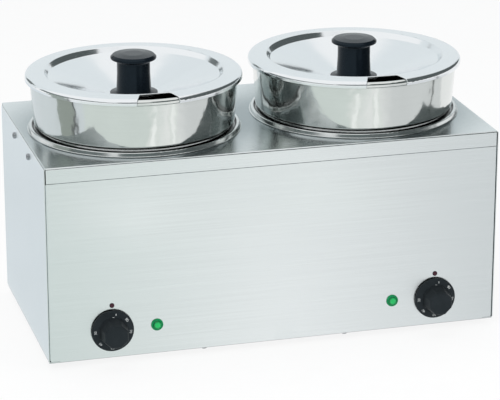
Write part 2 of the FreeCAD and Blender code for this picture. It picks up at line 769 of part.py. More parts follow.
def well_bracket(side, sign):
    """Angle strip inside the side that steadies the well."""
    body = new_body(f"well_bracket_{side}")
    side_face = f"({HALF_WIDTH} - sheet)"
    half_length = "(side_screw_spacing / 2 + bracket_end)"
    screw_z = f"{TOP_Z} - side_screw_drop"
    low = f"{screw_z} - bracket_height / 2"
    leg = new_sketch(body, "XY_Plane", low)
    rectangle(leg, f"{sign} * ({POT_X} + {WELL_OUTSIDE} - bracket_wrap)", f"-{half_length}",
              f"{sign} * {side_face}", half_length)
    pad(body, leg, "sheet")
    hollow = new_sketch(body, "XY_Plane", low)
    circle(hollow, f"{sign} * {POT_X}", "0", f"{WELL_OUTSIDE} + bracket_gap")
    pocket(body, hollow, "2 * sheet", reverse=True)
    upright = new_sketch(body, "XY_Plane", low)
    rectangle(upright, f"{sign} * ({side_face} - sheet)", f"-{half_length}",
              f"{sign} * {side_face}", half_length)
    pad(body, upright, "bracket_height")
    bores = new_sketch(body, "YZ_Plane", f"{sign} * {side_face}")
    for end in (-1, 1):
        circle(bores, f"{end} * side_screw_spacing / 2", screw_z, SCREW_HOLE)
    pocket(body, bores, "4 * sheet", both_ways=True)
    place(body, y=POT_Y)


# Heater under each well: a tubular ring pressed up by a clamp bar

def heating_element(side, sign):
    radius = number(ELEMENT_RADIUS)
    gap = math.radians(number("element_gap_angle"))
    bend = number("element_bend")
    tail = FreeCAD.Vector(0, 0, -number("element_tail"))
    down = FreeCAD.Vector(0, 0, -bend)

    def on_ring(angle):
        return FreeCAD.Vector(radius * math.cos(angle), radius * math.sin(angle), 0)

    def tail_edges(angle, turn):
        end = on_ring(angle)
        along = FreeCAD.Vector(-math.sin(angle), math.cos(angle), 0) * (turn * bend)
        quarter = end + along * math.sin(math.pi / 4) + down * (1 - math.cos(math.pi / 4))
        drop = end + along + down
        return Part.Arc(end, quarter, drop).toShape(), Part.LineSegment(drop, drop + tail).toShape()

    first_bend, first_tail = tail_edges(gap, -1)
    last_bend, last_tail = tail_edges(-gap, 1)
    half = Part.Arc(on_ring(gap), on_ring(math.pi / 2), on_ring(math.pi)).toShape()
    other = Part.Arc(on_ring(math.pi), on_ring(-math.pi / 2), on_ring(-gap)).toShape()
    edges = [first_tail, first_bend, half, other, last_bend, last_tail]
    start = first_tail.Vertexes[-1].Point
    shape = swept_tube("heating_element", edges, start, -tail, number("element_tube_radius"))
    feature = new_shape(f"heating_element_{side}", shape)
    place(feature, x=f"{sign} * {POT_X}", y=POT_Y, z=f"{WELL_BOTTOM} - contact_gap - element_tube_radius")


def heater_clamp(side, sign):
    body = new_body(f"heater_clamp_{side}")
    bar = new_sketch(body, "XY_Plane")
    half_length = f"({ELEMENT_RADIUS} + clamp_overlap)"
    rectangle(bar, "-clamp_half_width", f"-{half_length}", "clamp_half_width", half_length, "clamp_rounding")
    circle(bar, "0", "0", "stud_radius + screw_clearance")
    pad(body, bar, "clamp_thickness", reverse=True)
    place(body, x=f"{sign} * {POT_X}", y=POT_Y, z=f"{WELL_BOTTOM} - {CLAMP_TOP}")


def clamp_nuts():
    body = new_body("clamp_nuts")
    sketch = new_sketch(body, "XY_Plane")
    polygon(sketch, "(stud_radius + nut_wall)", NUT_FLATS)
    circle(sketch, "0", "0", "stud_radius + screw_clearance")
    nut = pad(body, sketch, "nut_height", reverse=True)
    repeat(body, nut, ("X_Axis", f"2 * {POT_X}", 2))
    place(body, x=f"-{POT_X}", y=POT_Y, z=f"{WELL_BOTTOM} - {CLAMP_TOP} - clamp_thickness")


def thermal_cutout(side, sign):
    """Round safety switch with two ears, seated flat under the well."""
    body = new_body(f"thermal_cutout_{side}")
    ear_end = "(cutout_radius + cutout_ear)"
    ears = new_sketch(body, "XY_Plane")
    rectangle(ears, "-cutout_radius / 2", f"-{ear_end}", "cutout_radius / 2", ear_end)
    pad(body, ears, "sheet", reverse=True)
    cup = new_sketch(body, "XY_Plane")
    circle(cup, "0", "0", "cutout_radius")
    pad(body, cup, "cutout_height", reverse=True)
    tabs = new_sketch(body, "XY_Plane", "-cutout_height")
    for end in (-1, 1):
        middle = f"{end} * cutout_radius / 2"
        rectangle(tabs, f"{middle} - sheet / 2", "-cutout_radius / 3", f"{middle} + sheet / 2",
                  "cutout_radius / 3")
    pad(body, tabs, "cutout_tab", reverse=True)
    offset = f"({ELEMENT_RADIUS} + element_tube_radius + cutout_gap + cutout_radius)"
    place(body, x=f"{sign} * ({POT_X} - {offset})", y=POT_Y, z=WELL_BOTTOM)


# Thermostats, dials and probes

def thermostat(side, sign):
    body = new_body(f"thermostat_{side}")
    plate_half = "(switch_half + mount_margin)"
    plate = new_sketch(body, "XY_Plane", "-sheet")
    rectangle(plate, f"-{plate_half}", "-mount_half_tall", plate_half, "mount_half_tall")
    pad(body, plate, "mount_plate", reverse=True)
    case = new_sketch(body, "XY_Plane", "-sheet - mount_plate")
    rectangle(case, "-switch_half", "-switch_half", "switch_half", "switch_half", "switch_rounding")
    pad(body, case, "switch_depth", reverse=True)
    bush = new_sketch(body, "XY_Plane", "bush_reach")
    circle(bush, "0", "0", BUSH_RADIUS)
    pad(body, bush, "bush_reach + sheet", reverse=True)
    bore = new_sketch(body, "XY_Plane", "bush_reach")
    circle(bore, "0", "0", "shaft_radius + shaft_fit")
    pocket(body, bore, "bush_reach + shaft_depth + shaft_fit")
    fixings = new_sketch(body, "XY_Plane", "-sheet")
    for end in (-1, 1):
        circle(fixings, f"{end} * {FIXING_OFFSET}", "0", "fixing_radius + screw_clearance")
    pocket(body, fixings, "screw_length + screw_clearance")
    place(body, x=f"{sign} * {DIAL_X}", y=FRONT_Y, z=DIAL_Z, facing="front")


def thermostat_screws():
    body = new_body("thermostat_screws")
    corners = screw_outline("0", "fixing_head_radius", "fixing_head_height", "fixing_radius", "screw_length")
    screw = turned(body, corners)
    repeat(body, screw, ("X_Axis", f"2 * {FIXING_OFFSET}", 2), ("X_Axis", f"2 * {DIAL_X}", 2))
    place(body, x=f"-{DIAL_X} - {FIXING_OFFSET}", y=FRONT_Y, z=DIAL_Z, facing="rear")


def thermostat_shaft(side, sign):
    """Turning spindle with a flat on its outer end."""
    body = new_body(f"thermostat_shaft_{side}")
    rod = new_sketch(body, "XY_Plane", "-shaft_depth")
    circle(rod, "0", "0", "shaft_radius")
    pad(body, rod, f"shaft_depth + {SHAFT_REACH}")
    flat = new_sketch(body, "XY_Plane", SHAFT_REACH)
    rectangle(flat, "-2 * shaft_radius", "shaft_radius - shaft_flat_depth",
              "2 * shaft_radius", "2 * shaft_radius")
    pocket(body, flat, f"{SHAFT_REACH} - {DIAL_GAP}")
    place(body, x=f"{sign} * {DIAL_X}", y=FRONT_Y, z=DIAL_Z, facing="front")


def control_knob(side, sign):
    """Dial: a round skirt for the numbers and a tapered grip with flats."""
    body = new_body(f"control_knob_{side}")
    grip_corner = f"({GRIP_BASE} / cos({180 / GRIP_FLATS}))"
    turned(body, [
        ("0", DIAL_GAP),
        ("skirt_radius", DIAL_GAP),
        ("skirt_radius", f"{DIAL_GAP} + skirt_edge", "skirt_rounding"),
        (grip_corner, SKIRT_TOP),
        ("0", SKIRT_TOP),
    ])
    base = new_sketch(body, "XY_Plane", SKIRT_TOP)
    polygon(base, GRIP_BASE, GRIP_FLATS)
    front = new_sketch(body, "XY_Plane", DIAL_REACH)
    polygon(front, f"({GRIP_BASE} - grip_draft)", GRIP_FLATS)
    grip = body.newObject("PartDesign::AdditiveLoft", f"{body.Name}_grip")
    grip.Profile = base
    grip.Sections = [front]
    grip.Ruled = True
    doc.recompute()
    level = number(DIAL_REACH)
    edges = [
        f"Edge{i}" for i, edge in enumerate(grip.Shape.Edges, start=1)
        if all(abs(v.Z - level) < 1e-4 for v in edge.Vertexes)
    ]
    rounding = body.newObject("PartDesign::Fillet", f"{body.Name}_rounding")
    rounding.Base = (grip, edges)
    bind(rounding, "Radius", "grip_rounding")
    bore = new_sketch(body, "XY_Plane", DIAL_GAP)
    circle(bore, "0", "0", "shaft_radius + shaft_fit")
    pocket(body, bore, f"{SHAFT_REACH} - {DIAL_GAP} + shaft_fit", reverse=True)
    flat = new_sketch(body, "XY_Plane", f"{DIAL_GAP} + shaft_fit")
    rectangle(flat, "-shaft_radius - shaft_fit", "shaft_radius - shaft_flat_depth + shaft_fit",
              "shaft_radius + shaft_fit", "2 * shaft_radius")
    pad(body, flat, f"{SHAFT_REACH} - {DIAL_GAP}")
    place(body, x=f"{sign} * {DIAL_X}", y=FRONT_Y, z=DIAL_Z, facing="front")


def temperature_probe(side, sign):
    """Capillary from the thermostat up to a bulb under the well, in one upright plane."""
    riser_y = "(sheet + red_depth + capillary_clearance)"
    bulb_z = f"({WELL_BOTTOM} - contact_gap - bulb_radius)"
    points = [
        vector("0", riser_y, f"{DIAL_Z} + switch_half"),
        vector("0", riser_y, bulb_z),
        vector("0", f"{POT_SETBACK} - bulb_length / 2", bulb_z),
    ]
    line = bent_tube("capillary", points, number("capillary_radius"), number("capillary_bend"))
    bulb = Part.makeCylinder(number("bulb_radius"), number("bulb_length"), points[-1],
                             FreeCAD.Vector(0, 1, 0))
    feature = new_shape(f"temperature_probe_{side}", line.fuse(bulb).removeSplitter())
    place(feature, x=f"{sign} * {DIAL_X}", y=FRONT_Y)


def probe_clips():
    """Hat-shaped clips that hold the bulbs up against the wells."""
    body = new_body("probe_clips")
    hat = new_sketch(body, "XZ_Plane")
    outside = f"({CLIP_INSIDE} + clip_sheet)"
    depth = "(2 * bulb_radius + 2 * contact_gap)"
    outline(hat, [
        (f"-{CLIP_HALF}", "0"),
        (f"-{CLIP_HALF}", "-clip_sheet"),
        (f"-{outside}", "-clip_sheet"),
        (f"-{outside}", f"-{depth} - clip_sheet"),
        (outside, f"-{depth} - clip_sheet"),
        (outside, "-clip_sheet"),
        (CLIP_HALF, "-clip_sheet"),
        (CLIP_HALF, "0"),
        (CLIP_INSIDE, "0"),
        (CLIP_INSIDE, f"-{depth}"),
        (f"-{CLIP_INSIDE}", f"-{depth}"),
        (f"-{CLIP_INSIDE}", "0"),
    ])
    clip = pad(body, hat, "clip_length", both_ways=True)
    repeat(body, clip, ("X_Axis", f"2 * {DIAL_X}", 2), ("Y_Axis", "clip_spacing", 2))
    place(body, x=f"-{DIAL_X}", y=f"{POT_Y} - clip_spacing / 2", z=WELL_BOTTOM)


# Lamps

def green_lamp(side, sign):
    spot = dict(x=f"{sign} * {GREEN_X}", y=FRONT_Y, z="foot_height + green_height", facing="front")
    bezel = f"{GREEN_BARREL} + green_bezel_width"
    socket = "green_lens_radius + lamp_fit"
    holder = new_body(f"green_lamp_body_{side}")
    turned(holder, [
        ("0", "-green_depth"),
        (GREEN_BARREL, "-green_depth", "lamp_rounding"),
        (GREEN_BARREL, "0"),
        (bezel, "0"),
        (bezel, "green_bezel_height", "green_bezel_height / 2"),
        (socket, "green_bezel_height"),
        (socket, "-lens_seat"),
        ("0", "-lens_seat"),
    ])
    place(holder, **spot)
    lens = new_body(f"green_lamp_lens_{side}")
    turned(lens, [
        ("0", "-lens_seat"),
        ("green_lens_radius", "-lens_seat"),
        ("green_lens_radius", "green_lens_height", "0.6 * green_lens_height"),
        ("0", "green_lens_height"),
    ])
    place(lens, **spot)


def red_lamp(side, sign):
    spot = dict(x=f"{sign} * {DIAL_X}", y=FRONT_Y, z=RED_Z, facing="front")
    body_radius = "red_lens_radius + red_shoulder"
    socket = "red_lens_radius + lamp_fit"
    holder = new_body(f"red_lamp_body_{side}")
    turned(holder, [
        ("0", "-sheet - red_depth"),
        (body_radius, "-sheet - red_depth", "lamp_rounding"),
        (body_radius, "-sheet"),
        (socket, "-sheet"),
        (socket, "-sheet - lens_seat"),
        ("0", "-sheet - lens_seat"),
    ])
    place(holder, **spot)
    lens = new_body(f"red_lamp_lens_{side}")
    turned(lens, [
        ("0", "-sheet - lens_seat"),
        ("red_lens_radius", "-sheet - lens_seat"),
        ("red_lens_radius", "red_lens_height", "0.7 * red_lens_height"),
        ("0", "red_lens_height"),
    ])
    place(lens, **spot)


# Mains connection inside the base

def terminal_block():
    body = new_body("terminal_block")
    block = new_sketch(body, "XY_Plane")
    rectangle(block, f"-{TERMINAL_HALF}", "-terminal_width / 2", TERMINAL_HALF, "terminal_width / 2")
    pad(body, block, "terminal_height")
    mouth = new_sketch(body, "XY_Plane", "terminal_height")
    circle(mouth, f"-terminal_pitch * {(TERMINAL_WAYS - 1) / 2}", "0", "terminal_hole_radius")
    way = pocket(body, mouth, "terminal_hole_depth")
    repeat(body, way, ("X_Axis", "terminal_pitch", TERMINAL_WAYS))
    place(body, y=f"{REAR_Y} - terminal_setback", z=FLOOR_Z)


def cable_gland():
    spot = dict(x=GLAND_X, y=REAR_Y, z="foot_height + gland_height", facing="rear")
    flange = f"{GLAND_BARREL} + gland_flange_width"
    gland = new_body("cable_gland")
    turned(gland, [
        ("gland_bore_radius", "-gland_barrel_length"),
        (GLAND_BARREL, "-gland_barrel_length"),
        (GLAND_BARREL, "0"),
        (flange, "0"),
        (flange, "gland_flange_height", "gland_flange_rounding"),
        ("gland_bore_radius", "gland_flange_height"),
    ])
    place(gland, **spot)
    nut = new_body("gland_nut")
    ring = new_sketch(nut, "XY_Plane", "-sheet")
    polygon(ring, f"({GLAND_BARREL} + gland_nut_wall)", NUT_FLATS)
    circle(ring, "0", "0", f"{GLAND_BARREL} + gland_fit")
    pad(nut, ring, "gland_nut_height", reverse=True)
    place(nut, **spot)


def wiring(side, sign):
    """Sleeved leads along the base from the terminal block to the thermostat."""
    level = f"({FLOOR_Z} + wire_radius + contact_gap)"
    block_y = f"{SIDE_DEPTH} - terminal_setback"
    dial_x = f"{sign} * {DIAL_X}"
    entry_z = f"({DIAL_Z} - switch_half / 3)"
    climb_y = f"{SWITCH_BACK} + wire_run"
    points = [
        vector(f"{sign} * {TERMINAL_HALF}", block_y, level),
        vector(dial_x, block_y, level),
        vector(dial_x, climb_y, level),
        vector(dial_x, climb_y, entry_z),
        vector(dial_x, SWITCH_BACK, entry_z),
    ]
    bend = 0.4 * number(f"{entry_z} - {level}")
    feature = new_shape(f"wiring_{side}", bent_tube("wiring", points, number("wire_radius"), bend))
    place(feature, y=FRONT_Y)


# Pots, lids and lid knobs: all turned about the axis of their well, heights from the housing's top

def pot(side, sign):
    body = new_body(f"pot_{side}")
    wall_top = "pot_rim_height - rim_bead_radius / 2"
    shelf = "seat_height + pot_wall"
    turned(body, [
        ("0", "-pot_depth"),
        (POT_BASE, "-pot_depth", "pot_corner"),
        ("pot_radius", "seat_height", "pot_wall"),
        (POT_SHOULDER, "seat_height", "pot_shoulder_rounding"),
        (POT_RIM, wall_top),
        (f"{POT_RIM} - pot_wall", wall_top),
        (f"{POT_SHOULDER} - pot_wall", shelf, "pot_shoulder_rounding - pot_wall"),
        ("pot_radius - pot_wall", shelf, "2 * pot_wall"),
        (f"{POT_BASE} - pot_wall", "pot_wall - pot_depth", "pot_corner - pot_wall"),
        ("0", "pot_wall - pot_depth"),
    ])
    rim = new_sketch(body, "XZ_Plane")
    circle(rim, RIM_CENTRE, "pot_rim_height", "rim_bead_radius")
    revolve(body, rim)
    place(body, x=f"{sign} * {POT_X}", y=POT_Y, z=TOP_Z)


def lid(side, sign):
    body = new_body(f"lid_{side}")
    step_z = f"{LID_TOP} - lid_step_depth"
    skirt_z = "pot_rim_height - lid_skirt_drop"
    inner_bend = "rim_bead_radius + lid_clearance"
    turned(body, [
        (BOLT_HOLE, LID_FLOOR),
        (LID_FLAT, LID_FLOOR, "lid_flat_rounding"),
        (LID_DISH, step_z, "lid_rounding"),
        (LID_STEP, LID_TOP, "lid_rounding"),
        (LID_OUTSIDE, LID_EDGE_TOP, f"{inner_bend} + lid_wall"),
        (LID_OUTSIDE, skirt_z),
        (LID_INSIDE, skirt_z),
        (LID_INSIDE, f"{LID_EDGE_TOP} - lid_wall", inner_bend),
        (f"{LID_STEP} + 0.5 * lid_wall", f"{LID_TOP} - lid_wall", "lid_rounding - 0.5 * lid_wall"),
        (f"{LID_DISH} + 0.6 * lid_wall", f"{step_z} - lid_wall", "lid_rounding + lid_wall"),
        (LID_FLAT, f"{LID_FLOOR} - lid_wall", "lid_flat_rounding + lid_wall"),
        (BOLT_HOLE, f"{LID_FLOOR} - lid_wall"),
    ])
    notch = new_sketch(body, "XY_Plane", f"{LID_TOP} + lid_wall")
    inner = f"({LID_OUTSIDE} - notch_length)"
    outer = f"({LID_OUTSIDE} + lid_wall)"
    outer_half = "(notch_outer_half + (notch_outer_half - notch_inner_half) / notch_length * lid_wall)"
    outline(notch, [
        ("-notch_inner_half", f"-{inner}", "notch_rounding"),
        (f"-{outer_half}", f"-{outer}"),
        (outer_half, f"-{outer}"),
        ("notch_inner_half", f"-{inner}", "notch_rounding"),
    ])
    pocket(body, notch, "lid_dish_depth + 2 * lid_wall")
    place(body, x=f"{sign} * {POT_X}", y=POT_Y, z=TOP_Z)


def lid_knob(side, sign):
    """Mushroom knob on the flat middle of the lid."""
    body = new_body(f"lid_knob_{side}")
    bore = "knob_bolt_radius + knob_bolt_fit"
    shoulder = "(knob_height - knob_crown)"
    cap_low = f"({shoulder} - knob_cap_height)"
    edge_low = f"({cap_low} + (knob_cap_height - knob_cap_edge) / 2)"
    turned(body, [
        (bore, "0"),
        (KNOB_FOOT, "0"),
        (KNOB_FOOT, "knob_foot_edge"),
        (KNOB_FLARE, "knob_foot_height", "knob_foot_height"),
        ("knob_stem_radius", "knob_height / 2", "knob_height"),
        ("knob_stem_radius", cap_low, "knob_cap_edge"),
        (KNOB_CAP, edge_low, "knob_cap_rounding"),
        (KNOB_CAP, f"{edge_low} + knob_cap_edge", "knob_cap_rounding"),
        (KNOB_TOP, shoulder, "knob_crown / 2"),
        (f"{KNOB_TOP} / 2", "knob_height", KNOB_TOP),
        ("0", "knob_height"),
        ("0", "knob_bolt_depth"),
        (bore, "knob_bolt_depth"),
    ])
    place(body, x=f"{sign} * {POT_X}", y=POT_Y, z=f"{TOP_Z} + {LID_FLOOR}")


def lid_knob_screw(side, sign):
    spot = dict(x=f"{sign} * {POT_X}", y=POT_Y, z=f"{TOP_Z} + {LID_FLOOR} - lid_wall")
    screw = new_body(f"lid_knob_screw_{side}")
    length = "(washer_height + lid_wall + knob_bolt_depth - knob_bolt_end_gap)"
    turned(screw, screw_outline("-washer_height", "knob_bolt_head_radius", "knob_bolt_head_height",
                                "knob_bolt_radius", length))
    place(screw, **spot)
    washer = new_body(f"lid_knob_washer_{side}")
    disc = new_sketch(washer, "XY_Plane")
    circle(disc, "0", "0", "knob_bolt_head_radius + washer_width")
    circle(disc, "0", "0", BOLT_HOLE)
    pad(washer, disc, "washer_height", reverse=True)
    place(washer, **spot)


outer_cover()
front_panel()
rear_panel()
base_plate()
rubber_feet()
foot_screws()
base_screws()
clamp_nuts()
thermostat_screws()
probe_clips()
terminal_block()
cable_gland()
for side_name, side_sign in SIDES:
    for make in (side_screws, well, well_bracket, heating_element, heater_clamp, thermal_cutout,
                 thermostat, thermostat_shaft, control_knob, temperature_probe, green_lamp, red_lamp,
                 wiring, pot, lid, lid_knob, lid_knob_screw):
        make(side_name, side_sign)
doc.recompute()

for item in doc.Objects:
    if "Invalid" in item.State or "Error" in item.State:
        raise RuntimeError(f"{item.Label} did not build")
for piece in pieces:
    if piece.Shape.isNull() or not piece.Shape.isValid() or piece.Shape.Volume <= 0:
        raise RuntimeError(f"{piece.Label} has no sound shape")

os.makedirs("parts", exist_ok=True)
for piece in pieces:
    piece.Shape.exportStep(f"parts/{piece.Label}.step")
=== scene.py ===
"""A two-pot soup kettle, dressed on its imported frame.

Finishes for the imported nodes, then dial figures, notch hems and screw crosses, then the studio."""
import math

import bmesh
import bpy
from mathutils import Matrix, Vector


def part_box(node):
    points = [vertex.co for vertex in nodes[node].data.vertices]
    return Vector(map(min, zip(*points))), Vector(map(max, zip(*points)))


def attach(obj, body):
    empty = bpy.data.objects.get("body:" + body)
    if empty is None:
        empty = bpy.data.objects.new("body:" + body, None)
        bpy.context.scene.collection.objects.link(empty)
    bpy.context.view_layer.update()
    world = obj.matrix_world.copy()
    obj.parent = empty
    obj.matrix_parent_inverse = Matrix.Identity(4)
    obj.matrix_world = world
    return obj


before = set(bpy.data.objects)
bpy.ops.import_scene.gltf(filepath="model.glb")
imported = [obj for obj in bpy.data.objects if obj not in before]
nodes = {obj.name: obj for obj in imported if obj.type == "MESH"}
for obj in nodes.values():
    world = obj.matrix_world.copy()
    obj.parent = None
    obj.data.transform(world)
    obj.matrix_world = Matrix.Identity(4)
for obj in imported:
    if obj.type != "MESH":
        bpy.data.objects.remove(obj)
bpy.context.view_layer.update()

MM = 0.001
SIDES = (("left", -1), ("right", 1))

# Places taken from the frame
lid_low, lid_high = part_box("lid_right")
POT_X = (lid_low.x + lid_high.x) / 2
LID_RADIUS = (lid_high.x - lid_low.x) / 2
POT_Y = lid_high.y - LID_RADIUS
LID_TOP = lid_high.z
dial_low, dial_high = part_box("control_knob_right")
DIAL_X = (dial_low.x + dial_high.x) / 2
DIAL_Z = (dial_low.z + dial_high.z) / 2
DIAL_RADIUS = (dial_high.x - dial_low.x) / 2
DIAL_BACK = dial_high.y

# Camera
CAMERA_SPOT = Vector((-0.8288, -2.9784, 1.2026))
CAMERA_AZIMUTH = math.radians(-15.614)
CAMERA_PITCH = math.radians(18.675)
CAMERA_LENS = 176.31
CAMERA_SENSOR = 36.0
CAMERA_FAR = 60.0


# Shader building

class Shader:
    """A material under construction: its nodes, its principled shader and short ways to wire them."""

    def __init__(self, name):
        self.material = bpy.data.materials.new(name)
        self.material.use_nodes = True
        self.tree = self.material.node_tree
        self.surface = self.tree.nodes["Principled BSDF"]

    def add(self, kind, **settings):
        node = self.tree.nodes.new("ShaderNode" + kind)
        for key, value in settings.items():
            setattr(node, key, value)
        return node

    def feed(self, socket, value):
        if isinstance(value, bpy.types.NodeSocket):
            self.tree.links.new(value, socket)
        else:
            socket.default_value = value

    def set(self, **values):
        for key, value in values.items():
            self.feed(self.surface.inputs[key.replace("_", " ")], value)

    def place(self, scale=(1, 1, 1)):
        coords = self.add("TexCoord")
        mapping = self.add("Mapping")
        self.feed(mapping.inputs["Vector"], coords.outputs["Object"])
        mapping.inputs["Scale"].default_value = scale
        return mapping.outputs["Vector"]

    def noise(self, vector, scale, detail=3.0, rough=0.55):
        node = self.add("TexNoise")
        self.feed(node.inputs["Vector"], vector)
        node.inputs["Scale"].default_value = scale
        node.inputs["Detail"].default_value = detail
        node.inputs["Roughness"].default_value = rough
        return node.outputs["Fac"]

    def span(self, value, low, high, source=(0.3, 0.7)):
        node = self.add("MapRange")
        self.feed(node.inputs["Value"], value)
        node.inputs["From Min"].default_value = source[0]
        node.inputs["From Max"].default_value = source[1]
        node.inputs["To Min"].default_value = low
        node.inputs["To Max"].default_value = high
        return node.outputs["Result"]

    def math(self, operation, first, second=0.0):
        node = self.add("Math", operation=operation)
        self.feed(node.inputs[0], first)
        self.feed(node.inputs[1], second)
        return node.outputs[0]

    def blend(self, factor, first, second):
        node = self.add("Mix", data_type="RGBA")
        self.feed(node.inputs["Factor"], factor)
        colour_first, colour_second = [s for s in node.inputs if s.type == "RGBA"]
        self.feed(colour_first, first)
        self.feed(colour_second, second)
        return next(s for s in node.outputs if s.type == "RGBA")

    def bump(self, height, distance, strength=1.0, normal=None):
        node = self.add("Bump")
        self.feed(node.inputs["Height"], height)
        node.inputs["Distance"].default_value = distance
        node.inputs["Strength"].default_value = strength
        if normal:
            self.feed(node.inputs["Normal"], normal)
        return node.outputs["Normal"]


def colour(red, green, blue):
    return (red, green, blue, 1.0)


# A face counts as a side or as a top where this share of its normal points that way
FACING_SHARE = 0.6
GRAIN_ACROSS = (4, 1900, 1900)
GRAIN_UPRIGHT = (4, 1900, 4)
GRAIN_LEAN = 0.06
# Painted shade darkens the top plate near the pots, standing in for their shade and dark reflection:
# how far this reaches, and the openness over which it fades
TOP_SHADE_REACH = 80.0 * MM
TOP_SHADE_SPAN = (0.42, 0.98)
TOP_PAINTED_SHADE = (0.29, 0.345, 0.36)
# Painted shade in the narrow corners of the spun steel: the openness over which it fades, its colour
# and how far it looks
CREASE_SHADE_SPAN = (0.25, 0.7)
CREASE_PAINTED_SHADE = (0.01, 0.012, 0.012)
CREASE_SHADE_REACH = 9.0 * MM
CORNER_SAMPLES = 6
RING_SCALE = (6, 6, 1500)
RIPPLE_SCALE = (1, 1, 0.8)


def openness(s, reach):
    """How open the surface lies, from 0 in a closed corner to 1, looking this far."""
    corner = s.add("AmbientOcclusion", samples=CORNER_SAMPLES)
    corner.inputs["Distance"].default_value = reach
    return corner.outputs["AO"]


def shades(base, *shares):
    """The base colour, made darker or lighter by these shares."""
    return [colour(*(channel * share for channel in base)) for share in shares]


def brushed_sheet():
    """Brushed sheet: grain along the width on the top and front, upright on the folded sides."""
    s = Shader("brushed_sheet")
    facing = s.add("NewGeometry")
    split = s.add("SeparateXYZ")
    s.feed(split.inputs[0], facing.outputs["True Normal"])
    side = s.math("GREATER_THAN", s.math("ABSOLUTE", split.outputs["X"]), FACING_SHARE)
    across = s.noise(s.place(GRAIN_ACROSS), 1.0, 4.0, 0.7)
    upright = s.noise(s.place(GRAIN_UPRIGHT), 1.0, 4.0, 0.7)
    choose = s.add("Mix", data_type="FLOAT")
    s.feed(choose.inputs["Factor"], side)
    values = [x for x in choose.inputs if x.type == "VALUE" and x.name in "AB"]
    s.feed(values[0], across)
    s.feed(values[1], upright)
    grain = next(x for x in choose.outputs if x.type == "VALUE")
    cloud = s.noise(s.place(), 7.0, 4.0)
    tint = s.blend(s.span(grain, 0, 1), colour(0.72, 0.76, 0.765), colour(0.81, 0.85, 0.855))
    tint = s.blend(s.span(cloud, 0, 0.25), tint, colour(0.76, 0.81, 0.82))
    # Painted shade: the top face darkens near the pots, standing in for their shade and dark reflection
    upward = s.math("GREATER_THAN", split.outputs["Z"], FACING_SHARE)
    clear = s.span(openness(s, TOP_SHADE_REACH), 0, 1, TOP_SHADE_SPAN)
    clear = s.math("MAXIMUM", clear, s.math("SUBTRACT", 1.0, upward))
    s.set(Base_Color=s.blend(clear, colour(*TOP_PAINTED_SHADE), tint))
    s.set(Metallic=1.0, Anisotropic=0.6)
    s.set(Roughness=s.math("ADD", s.span(cloud, 0.20, 0.25), s.span(grain, -0.03, 0.04)))
    lean = s.add("CombineXYZ")
    lean.inputs["Y"].default_value = 1.0
    lean.inputs["Z"].default_value = GRAIN_LEAN
    along = s.add("VectorMath", operation="CROSS_PRODUCT")
    s.feed(along.inputs[0], facing.outputs["Normal"])
    s.feed(along.inputs[1], lean.outputs[0])
    s.feed(s.surface.inputs["Tangent"], along.outputs[0])
    s.set(Normal=s.bump(grain, 0.02 * MM, 0.35))
    return s.material


def spun_steel(name, base, rough, ripple, grain, streak=0.045, crease_shade=0.0):
    """Spun and polished steel: fine rings round the axis over slow ripples in the sheet.
    With a reach given, painted shade darkens the metal in corners narrower than it."""
    s = Shader(name)
    rings = s.noise(s.place(RING_SCALE), 1.0, 4.0, 0.7)
    slow = s.noise(s.place(RIPPLE_SCALE), 34.0, 2.0, 0.4)
    smudge = s.noise(s.place(), 16.0, 5.0)
    tint = s.blend(s.span(rings, 0, 1), *shades(base, 1 - streak, 1 + streak))
    # Painted shade: the colour turns near black in narrow corners, such as the gap under the pot
    if crease_shade:
        clear = s.span(openness(s, crease_shade), 0, 1, CREASE_SHADE_SPAN)
        tint = s.blend(clear, colour(*CREASE_PAINTED_SHADE), tint)
    s.set(Base_Color=tint, Metallic=1.0)
    polish = s.span(smudge, rough * 0.75, rough * 1.25)
    s.set(Roughness=s.math("ADD", polish, s.span(rings, -0.02, 0.02)))
    s.set(Normal=s.bump(rings, 0.01 * MM, grain, s.bump(slow, ripple * MM)))
    return s.material


def satin_steel(name, base, rough):
    """Rolled sheet with a fine even tooth, for what is seldom seen."""
    s = Shader(name)
    tooth = s.noise(s.place(), 1400.0, 3.0)
    cloud = s.noise(s.place(), 18.0, 4.0)
    s.set(Base_Color=s.blend(s.span(cloud, 0, 1), *shades(base, 0.9, 1.05)), Metallic=1.0)
    s.set(Roughness=s.span(cloud, rough * 0.8, rough * 1.2))
    s.set(Normal=s.bump(tooth, 0.02 * MM, 0.4))
    return s.material


def moulded(name, low, high, rough, tooth=0.03, coat=0.0, scale=900.0, shine=0.5,
            soften=0.0, sheen=(1, 1, 1)):
    """Moulded plastic, rubber or ceramic with a fine tooth and faint flow marks.
    With soften, edges catch the light as if rounded by this radius."""
    s = Shader(name)
    grain = s.noise(s.place(), scale, 4.0)
    flow = s.noise(s.place(), 60.0, 4.0)
    s.set(Base_Color=s.blend(s.span(flow, 0, 1), colour(*low), colour(*high)))
    s.set(Roughness=s.span(flow, rough * 0.85, rough * 1.15))
    edges = None
    if soften:
        rounded = s.add("Bevel")
        rounded.inputs["Radius"].default_value = soften
        edges = rounded.outputs["Normal"]
    s.set(Normal=s.bump(grain, tooth * MM, 0.5, edges))
    s.set(Coat_Weight=coat, Specular_IOR_Level=shine, Specular_Tint=colour(*sheen))
    return s.material


